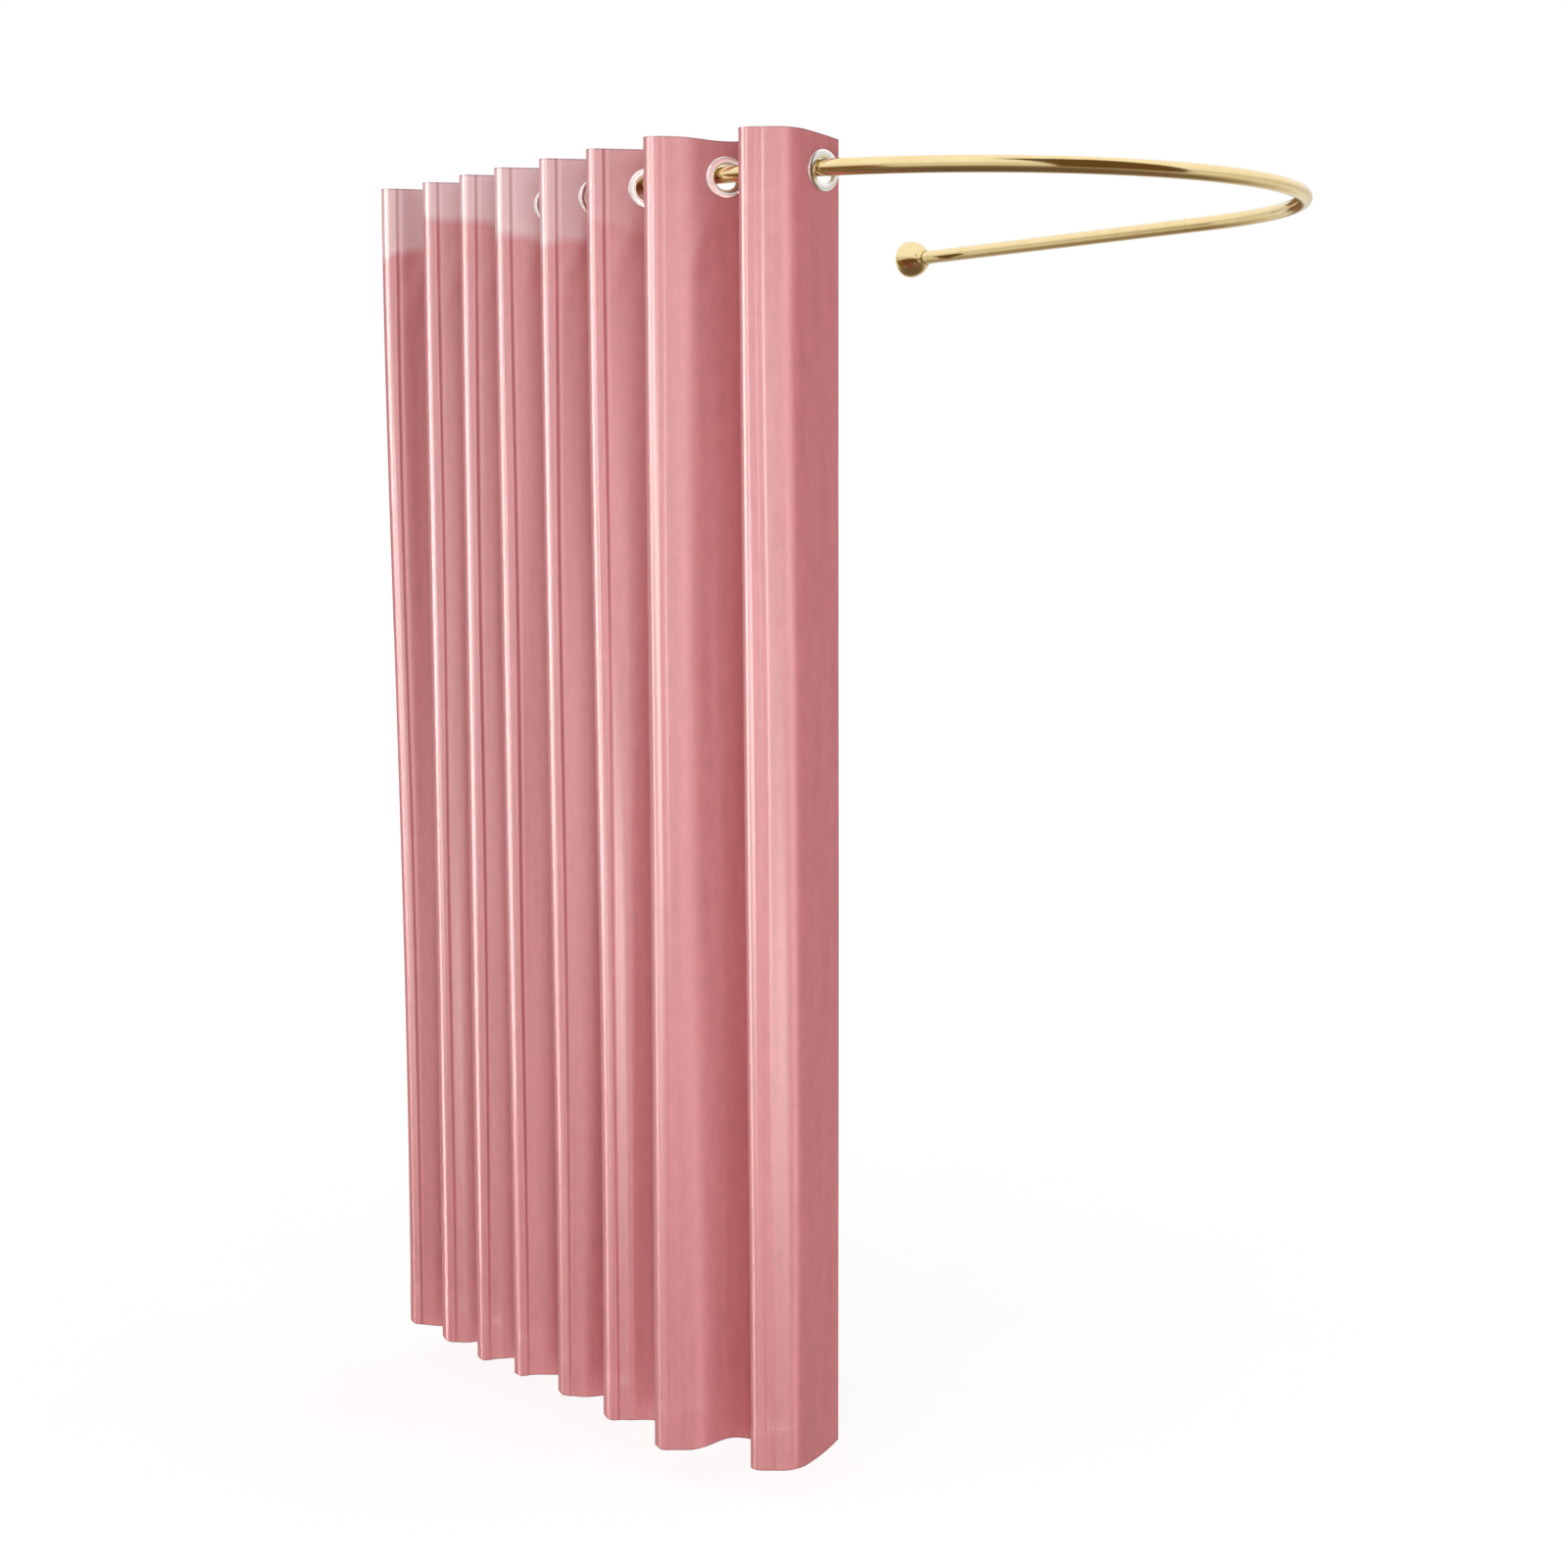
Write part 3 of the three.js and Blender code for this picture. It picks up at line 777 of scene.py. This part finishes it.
def fold_line(index, depth):
    """The cloth in plan from one eyelet's axis to the next, at a depth below the header's edge,
    and its length. The folds loosen towards the hem."""
    start, run_in = eyelet_place(index)
    end, run_out = eyelet_place(index + 1)
    first = EYELET_SHARES[index] * LEG_LENGTH
    last = EYELET_SHARES[index + 1] * LEG_LENGTH
    middle, along, outward = rail_place((first + last) / 2)
    off = outward if index % 2 == 0 else -outward
    loose = float(smooth_step(depth, HEADER_BAND, CURTAIN_HEIGHT)) ** LOOSE_POWER
    reach = FOLD_REACH_SHARES[index] * EYELET_RADIUS * (1 - HEM_LOSS_SHARES[index] * loose)
    radius = FOLD_RADIUS_SHARES[index] * (last - first)
    radius *= 1 + HEM_RADIUS_GAIN_SHARE * loose
    sway = HEM_SWAY * math.sin(SWAY_TURN * index + SWAY_START) * loose
    shift = FOLD_SHIFT_SHARES[index] * EYELET_RADIUS
    edge_turn = math.radians(FOLD_EDGE_TURNS[index])
    centre = middle + off * (reach - radius) + along * (sway + shift)
    flat_end = start + run_in * FLAT_HALF
    flat_start = end - run_out * FLAT_HALF
    turns = np.linspace(0.0, edge_turn, ROUND_EDGE_POINTS)[:, None]
    edge = centre - along * radius * np.cos(turns) + off * radius * np.sin(turns)
    leaving = along * math.sin(edge_turn) + off * math.cos(edge_turn)
    ease_in = np.linalg.norm(flat_end - edge[0]) * FOLD_EASE_SHARE
    ease_out = np.linalg.norm(flat_start - edge[-1]) * FOLD_EASE_SHARE
    enter = edge[0] - off * ease_in
    leave = edge[-1] + leaving * ease_out * LEAVING_EASE_GAINS.get(index, 1.0)
    into = bezier(flat_end, flat_end + run_in * ease_in, enter, edge[0], EASE_POINTS)
    out = bezier(edge[-1], leave, flat_start - run_out * ease_out, flat_start, EASE_POINTS)
    points = np.concatenate([[start], into, edge[1:-1], out, [end]])
    return even_points(points, PATH_SAMPLES)


class Sheet:
    """The whole cloth as a surface: metres along and below the header's edge, to places."""

    def __init__(self):
        upper = np.linspace(0.0, TOP_LEVELS_DEPTH, LEVELS // 2)
        lower = np.linspace(TOP_LEVELS_DEPTH, CURTAIN_HEIGHT, LEVELS // 2)
        self.depths = np.concatenate([upper, lower[1:]])
        folds = range(EYELET_COUNT - 1)
        lines = [[fold_line(i, depth) for depth in self.depths] for i in folds]
        self.grid = np.array([[line for line, _ in levels] for levels in lines])
        self.lengths = [levels[0][1] for levels in lines]
        self.eyelets = np.concatenate([[0.0], np.cumsum(self.lengths)])
        self.low = -EDGE_LENGTH
        self.high = self.eyelets[-1] + EDGE_LENGTH
        self.edge_ends = [self.edge_end(i) for i in folds if i % 2 == 0]

    def edge_end(self, index):
        """Where along the header the round edge of a fold ends."""
        first, last = (EYELET_SHARES[i] * LEG_LENGTH for i in (index, index + 1))
        outward = rail_place((first + last) / 2)[2]
        tip = np.argmax(self.grid[index, 0] @ outward) / (PATH_SAMPLES - 1)
        turn = math.radians(FOLD_EDGE_TURNS[index]) - math.pi / 2
        beyond = turn * FOLD_RADIUS_SHARES[index] * (last - first)
        return self.eyelets[index] + tip * self.lengths[index] + beyond

    def plan(self, u, depth):
        """Places in plan for lengths along the header and depths below its edge."""
        index = np.searchsorted(self.eyelets, u, side="right") - 1
        index = np.clip(index, 0, EYELET_COUNT - 2)
        lengths = np.array(self.lengths)[index]
        share = (u - self.eyelets[index]) / lengths
        inside = np.clip(share, 0.0, 1.0)
        across = inside * (PATH_SAMPLES - 1)
        column = np.minimum(across.astype(int), PATH_SAMPLES - 2)
        down = np.interp(depth, self.depths, np.arange(len(self.depths)))
        row = np.minimum(down.astype(int), len(self.depths) - 2)
        s = (across - column)[:, None]
        t = (down - row)[:, None]
        grid = self.grid
        above = grid[index, row, column] * (1 - s) + grid[index, row, column + 1] * s
        below = grid[index, row + 1, column] * (1 - s) + grid[index, row + 1, column + 1] * s
        place = above * (1 - t) + below * t
        beyond = (share - inside) * lengths
        runs = np.array([eyelet_place(i)[1] for i in range(EYELET_COUNT)])
        side = np.where(share > 1.0, index + 1, index)
        return place + runs[side] * beyond[:, None]

    def places(self, u, z):
        """Places of points of the flat sheet, z being their height when it hangs straight."""
        flat = self.plan(u, HEADER_ABOVE - z)
        height = z + self.rise(u, z)
        return np.stack([flat[:, 0], flat[:, 1], height], axis=1)

    def rise(self, u, z):
        """How far the sheet's edges leave the level: they droop at the header and lift at the hem
        towards the leading edge and behind the last fold but one, and the hem's corners curl."""
        down = -CLOTH_LOW
        lead = np.clip((u - self.high + LEAD_WIDTH) / LEAD_WIDTH, 0.0, 1.0) ** LEAD_POWER
        front = bell(u - self.eyelets[-3], FRONT_WIDTH)
        droop = -(LEAD_DROOP * lead + FRONT_DROOP * front)
        droop = droop * smooth_step(z, DROOP_BEGINS, HEADER_ABOVE)
        lift = (LEAD_LIFT * lead + FRONT_LIFT * front) * smooth_step(-z, LIFT_BEGINS, down)
        corners = [end - CORNER_BEFORE_EDGE for end in self.edge_ends[:-1]]
        curl = sum(bell(u - corner, CORNER_WIDTH) for corner in corners)
        lift += CORNER_LIFT * curl * smooth_step(-z, down - BOTTOM_HEM, down)
        waves = sum(height * np.sin(u * rate + start) for height, rate, start in HEM_WAVES)
        return droop + lift + waves * smooth_step(-z, HEM_WAVES_BEGIN, down)

    def thickness(self, u, z):
        """Half of the cloth's thickness, with the hems' extra layer."""
        header = HEADER_ABOVE - HEADER_BAND
        hem = CLOTH_LOW + BOTTOM_HEM
        left = self.low + SIDE_HEM
        right = self.high - SIDE_HEM
        top = smooth_step(z, header - HEM_STEP_WIDTH, header)
        bottom = 1 - smooth_step(z, hem, hem + HEM_STEP_WIDTH)
        sides = 1 - smooth_step(u, left, left + HEM_STEP_WIDTH)
        sides = sides + smooth_step(u, right - HEM_STEP_WIDTH, right)
        layers = np.maximum(np.maximum(top, bottom), sides)
        return CLOTH_THICKNESS / 2 + HEM_STEP / 2 * layers

    def drape(self, u, z):
        """Small moves along the cloth's normal: the pressed creases and the low ridge beside each
        fold's round edge, slanting dents below the eyelets, and long shallow waves that grow
        towards the hem."""
        move = np.zeros_like(u)
        for end, places in zip(self.edge_ends, CREASE_PLACES):
            wander = np.sin(z * CREASE_WANDER_RATE + end * CREASE_WANDER_START)
            past = u - end - CREASE_WANDER * wander
            for place in places:
                move -= CREASE_DEPTH * bell(past - place, CREASE_WIDTH)
            move += RIDGE_HEIGHT * bell(past - places[-1] - RIDGE_AFTER_CREASE, RIDGE_WIDTH)
        down = -z - EYELET_DROP - EYELET_RADIUS
        strength = smooth_step(down, *DENT_BEGINS) * (1 - smooth_step(down, *DENT_ENDS))
        width = DENT_WIDTH + DENT_WIDENING * np.clip(down, 0.0, 1.0)
        for middle in self.eyelets[1::2]:
            off = u - middle + DENT_AHEAD + DENT_SLANT * down
            move -= DENT_DEPTH * bell(off, width) * strength
        wander = WAVE_WANDER * np.sin(z * WAVE_WANDER_RATE)
        waves = WAVE_HEIGHT * np.sin(u * WAVE_RATE + wander)
        waves += RIPPLE_HEIGHT * np.sin(u * RIPPLE_RATE - z * RIPPLE_SLANT)
        return move + waves * smooth_step(-z, *WAVES_BEGIN)


def strip_points(low, high, holes, edge_ends):
    """Steps from low to high, finer at the folds' creases, that keep each hole patch's own
    steps."""
    marks = [low]

    def walk(end):
        """Adds steps up to an end, in stretches of even steps."""
        bounds = {end}
        for edge in edge_ends:
            bounds |= {edge - FINE_BEFORE_EDGE, edge + FINE_AFTER_EDGE}
        for stop in sorted(b for b in bounds if marks[-1] + FINE_STEP / 2 < b <= end):
            middle = (marks[-1] + stop) / 2
            fine = any(-FINE_BEFORE_EDGE < middle - edge < FINE_AFTER_EDGE for edge in edge_ends)
            count = max(1, round((stop - marks[-1]) / (FINE_STEP if fine else COLUMN_STEP)))
            marks.extend(np.linspace(marks[-1], stop, count + 1)[1:])
        marks[-1] = end

    for start, end in holes:
        if start > marks[-1] + SAME_PLACE:
            walk(start)
        count = PATCH_STEPS * round((end - start) / HOLE_PATCH)
        marks.extend(np.linspace(start, end, count + 1)[1:])
    if high > marks[-1] + SAME_PLACE:
        walk(high)
    return marks


def row_heights():
    """Heights of the mesh's rows, closer together at the holes and where the hems begin."""
    centre = -EYELET_DROP
    header = HEADER_ABOVE - HEADER_BAND
    hem = CLOTH_LOW + BOTTOM_HEM
    marks = list(np.linspace(HEADER_ABOVE, centre + HOLE_PATCH, TOP_ROWS + 1))

    def walk(end, count):
        marks.extend(np.linspace(marks[-1], end, count + 1)[1:])

    walk(centre - HOLE_PATCH, 2 * PATCH_STEPS)
    walk(header + BESIDE_HEM, BELOW_PATCH_ROWS)
    marks += [header - BESIDE_HEM, header - NEAR_HEM]
    walk(hem + NEAR_HEM, round((marks[-1] - hem) / ROW_STEP) - 1)
    marks += [hem + BESIDE_HEM, hem - BESIDE_HEM]
    walk(CLOTH_LOW, HEM_ROWS)
    return marks


def half_square():
    """Points down the right half of a hole patch's border, from its top to its bottom."""
    steps = PATCH_STEPS
    points = [(HOLE_PATCH * k / steps, HOLE_PATCH) for k in range(steps)]
    points += [(HOLE_PATCH, HOLE_PATCH * (1 - k / steps)) for k in range(2 * steps)]
    points += [(HOLE_PATCH * (1 - k / steps), -HOLE_PATCH) for k in range(steps + 1)]
    return points


def flat_mesh(sheet, first, last, low, high):
    """The flat cut of a stretch of cloth from one eyelet to a later one: points and faces, with a
    round hole, or half of one at the stretch's ends, at every eyelet."""
    centre = -EYELET_DROP
    middles = sheet.eyelets[first:last + 1]
    holes = [(max(m - HOLE_PATCH, low), min(m + HOLE_PATCH, high)) for m in middles]
    columns = strip_points(low, high, holes, sheet.edge_ends)
    rows = row_heights()
    points = []
    known = {}

    def point(u, z):
        key = (round(u * KEYS_A_METRE), round(z * KEYS_A_METRE))
        if key not in known:
            known[key] = len(points)
            points.append((u, z))
        return known[key]

    faces = []
    for left, right in zip(columns, columns[1:]):
        here = (left + right) / 2
        at_hole = any(start - SAME_PLACE < here < end + SAME_PLACE for start, end in holes)
        for above, below in zip(rows, rows[1:]):
            if at_hole and abs((above + below) / 2 - centre) < HOLE_PATCH:
                continue
            corners = ((left, above), (left, below), (right, below), (right, above))
            faces.append(tuple(point(u, z) for u, z in corners))

    def half_patch(middle, side):
        """Quads between a hole's edge and its patch's border, on one side of an eyelet."""
        square = half_square()
        count = len(square) - 1
        loops = []
        for ring in range(PATCH_RINGS + 1):
            share = ring / PATCH_RINGS
            loop = []
            for k, (a, b) in enumerate(square):
                turn = math.pi / 2 - math.pi * k / count
                u = CLOTH_HOLE_RADIUS * math.cos(turn) * (1 - share) + a * share
                z = CLOTH_HOLE_RADIUS * math.sin(turn) * (1 - share) + b * share
                loop.append(point(middle + side * u, centre + z))
            loops.append(loop)
        for inner, outer in zip(loops, loops[1:]):
            for k in range(count):
                quad = (inner[k], inner[k + 1], outer[k + 1], outer[k])
                faces.append(quad if side > 0 else quad[::-1])

    for middle in middles:
        if middle - low > HOLE_PATCH / 2:
            half_patch(middle, -1)
        if high - middle > HOLE_PATCH / 2:
            half_patch(middle, 1)
    return np.array(points), faces


def make_cloth(sheet, name, node, first, last, low, high):
    """One stretch of the curtain as a closed shell with both faces of the cloth."""
    flat, faces = flat_mesh(sheet, first, last, low, high)
    u, z = flat[:, 0], flat[:, 1]
    middle = sheet.places(u, z)
    along = sheet.places(u + NORMAL_STEP, z) - sheet.places(u - NORMAL_STEP, z)
    down = sheet.places(u, z - NORMAL_STEP) - sheet.places(u, z + NORMAL_STEP)
    normal = np.cross(along, down)
    normal /= np.linalg.norm(normal, axis=1)[:, None]
    middle = middle + normal * sheet.drape(u, z)[:, None]
    half = sheet.thickness(u, z)[:, None]
    count = len(flat)
    vertices = np.concatenate([middle + normal * half, middle - normal * half])
    edges = dict.fromkeys(edge for face in faces for edge in zip(face, face[1:] + face[:1]))
    rim = [(a, b) for a, b in edges if (b, a) not in edges]
    front = [tuple(face[::-1]) for face in faces]
    back = [tuple(k + count for k in face) for face in faces]
    sides = [(a, b, b + count, a + count) for a, b in rim]
    obj = add_object(name, vertices, front + back + sides, CLOTH)
    layer = obj.data.uv_layers.new(name="cloth_metres")
    metres = np.concatenate([flat, flat])
    corners = np.zeros(len(obj.data.loops), int)
    obj.data.loops.foreach_get("vertex_index", corners)
    layer.data.foreach_set("uv", metres[corners].astype(np.float32).ravel())
    sharpen(obj, CLOTH_SHARP_DEGREES)
    LIT.objects.link(obj)
    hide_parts(node)
    return obj


def make_curtain():
    sheet = Sheet()
    eyelets = sheet.eyelets
    turn = TURN_EYELET
    side = make_cloth(sheet, "cloth_side", "curtain_side", 0, turn, sheet.low, eyelets[turn])
    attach(side, "rail")
    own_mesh(side)
    names = ["corner_valley", "fold_7", "front_valley", "leading_fold"]
    for first, name in enumerate(names, turn):
        after = first + 1
        low = eyelets[first]
        high = sheet.high if name == "leading_fold" else eyelets[after]
        obj = make_cloth(sheet, f"cloth_{name}", f"curtain_{name}", first, after, low, high)
        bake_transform(obj)


# Camera, light and floor


def make_camera():
    yaw, pitch, roll = (math.radians(a) for a in (CAMERA_YAW, CAMERA_PITCH, CAMERA_ROLL))
    forward = Vector((
        math.sin(yaw) * math.cos(pitch), math.cos(yaw) * math.cos(pitch), math.sin(pitch)
    ))
    level = Vector((math.cos(yaw), -math.sin(yaw), 0.0))
    upright = level.cross(forward)
    right = level * math.cos(roll) + upright * math.sin(roll)
    up = upright * math.cos(roll) - level * math.sin(roll)
    data = bpy.data.cameras.new("photo_camera")
    data.sensor_fit = "HORIZONTAL"
    data.sensor_width = SENSOR_MM
    data.lens = CAMERA_LENS_MM
    data.clip_end = CAMERA_FAR
    camera = bpy.data.objects.new("photo_camera", data)
    turn = Matrix((right, up, -forward)).transposed().to_4x4()
    camera.matrix_world = Matrix.Translation(CAMERA_PLACE) @ turn
    scene.collection.objects.link(camera)
    scene.camera = camera


def add_light(name, azimuth, height, distance, size, power, colour):
    """A lamp that looks level at the curtain's middle, from an azimuth counted from -Y to +X."""
    turn = math.radians(azimuth)
    data = bpy.data.lights.new(name, "AREA")
    data.shape = "RECTANGLE"
    data.size, data.size_y = size
    data.energy = power
    data.color = colour
    light = bpy.data.objects.new(name, data)
    step = Vector((math.sin(turn), -math.cos(turn), 0.0))
    light.location = Vector((*CURTAIN_MIDDLE, height)) + step * distance
    light.rotation_mode = "QUATERNION"
    light.rotation_quaternion = (-step).to_track_quat("-Z", "Y")
    light.light_linking.receiver_collection = LIT
    scene.collection.objects.link(light)
    return light


def make_world():
    """White behind the object, an even studio that lights it, and one for its reflections, which
    is darker below and has dark areas."""
    world = bpy.data.worlds.new("studio")
    world.use_nodes = True
    scene.world = world
    tree = world.node_tree
    tree.nodes.clear()
    out = add_node(tree, "ShaderNodeOutputWorld")
    direction = add_node(tree, "ShaderNodeTexCoord").outputs["Generated"]
    parts = add_node(tree, "ShaderNodeSeparateXYZ")
    tree.links.new(direction, parts.inputs["Vector"])
    x, y, z = (parts.outputs[axis] for axis in "XYZ")
    azimuth = calculate(tree, "ARCTAN2", x, calculate(tree, "MULTIPLY", y, -1.0))
    height = rising(tree, z, -1.0, 1.0)
    bands = ramp(tree, height, REFLECTED_BANDS)
    dark = None
    for sides, heights in REFLECTED_DARKS:
        left, right = (math.radians(degrees) for degrees in sides)
        low, high = (math.sin(math.radians(degrees)) for degrees in heights)
        across = window(tree, azimuth, left, right, REFLECTED_SOFTNESS)
        up = window(tree, z, low, high, REFLECTED_SOFTNESS)
        spot = calculate(tree, "MULTIPLY", across, up)
        dark = spot if dark is None else calculate(tree, "MAXIMUM", dark, spot)
    mirrored = add_node(tree, "ShaderNodeBackground")
    tree.links.new(mixed(tree, dark, bands, REFLECTED_DARK_COLOUR), mirrored.inputs["Color"])
    lit = add_node(tree, "ShaderNodeBackground")
    lit.inputs["Color"].default_value = (*AMBIENT_COLOUR, 1.0)
    lit.inputs["Strength"].default_value = AMBIENT_LEVEL
    seen = add_node(tree, "ShaderNodeBackground")
    seen.inputs["Color"].default_value = WHITE
    path = add_node(tree, "ShaderNodeLightPath")
    glossy = add_node(tree, "ShaderNodeMixShader")
    tree.links.new(path.outputs["Is Glossy Ray"], glossy.inputs["Fac"])
    tree.links.new(lit.outputs["Background"], glossy.inputs[1])
    tree.links.new(mirrored.outputs["Background"], glossy.inputs[2])
    mix = add_node(tree, "ShaderNodeMixShader")
    tree.links.new(path.outputs["Is Camera Ray"], mix.inputs["Fac"])
    tree.links.new(glossy.outputs["Shader"], mix.inputs[1])
    tree.links.new(seen.outputs["Background"], mix.inputs[2])
    tree.links.new(mix.outputs["Shader"], out.inputs["Surface"])


def make_floor():
    z = CLOTH_LOW - FLOOR_BELOW_HEM
    half = FLOOR_HALF
    corners = [(-half, -half, z), (half, -half, z), (half, half, z), (-half, half, z)]
    floor = add_object("floor", corners, [(0, 1, 2, 3)], floor_material(), smooth=False)
    floor.visible_glossy = False
    LIT.objects.link(floor)


def make_boards():
    material, _, shader = new_material("dark_board")
    shader.inputs["Base Color"].default_value = BLACK
    shader.inputs["Specular IOR Level"].default_value = 0.0
    shader.inputs["Emission Color"].default_value = (*BOARD_COLOUR, 1.0)
    shader.inputs["Emission Strength"].default_value = 1.0
    for corners in BOARDS:
        board = add_object("dark_board", corners, [(0, 1, 2, 3)], material, smooth=False)
        board.visible_camera = False
        board.visible_diffuse = False
        board.visible_shadow = False


def make_studio():
    make_camera()
    make_world()
    make_floor()
    make_boards()
    fill = add_light("fill", *FILL_LAMP)
    fill.visible_glossy = False
    for name, values in SHINE_LAMPS.items():
        shine = add_light(name, *values)
        shine.visible_diffuse = False
    scene.view_settings.view_transform = "Standard"
    scene.view_settings.look = "None"


make_studio()
make_rail()
make_cover("left", (LEFT_LOW.x + LEFT_HIGH.x) / 2)
make_cover("right", (RIGHT_LOW.x + RIGHT_HIGH.x) / 2)
make_eyelets()
make_curtain()

# The pieces that keep their solids, under the covers and inside the tube, are of steel
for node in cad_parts.values():
    if not node.hide_render:
        for material_slot in node.material_slots:
            material_slot.material = STEEL
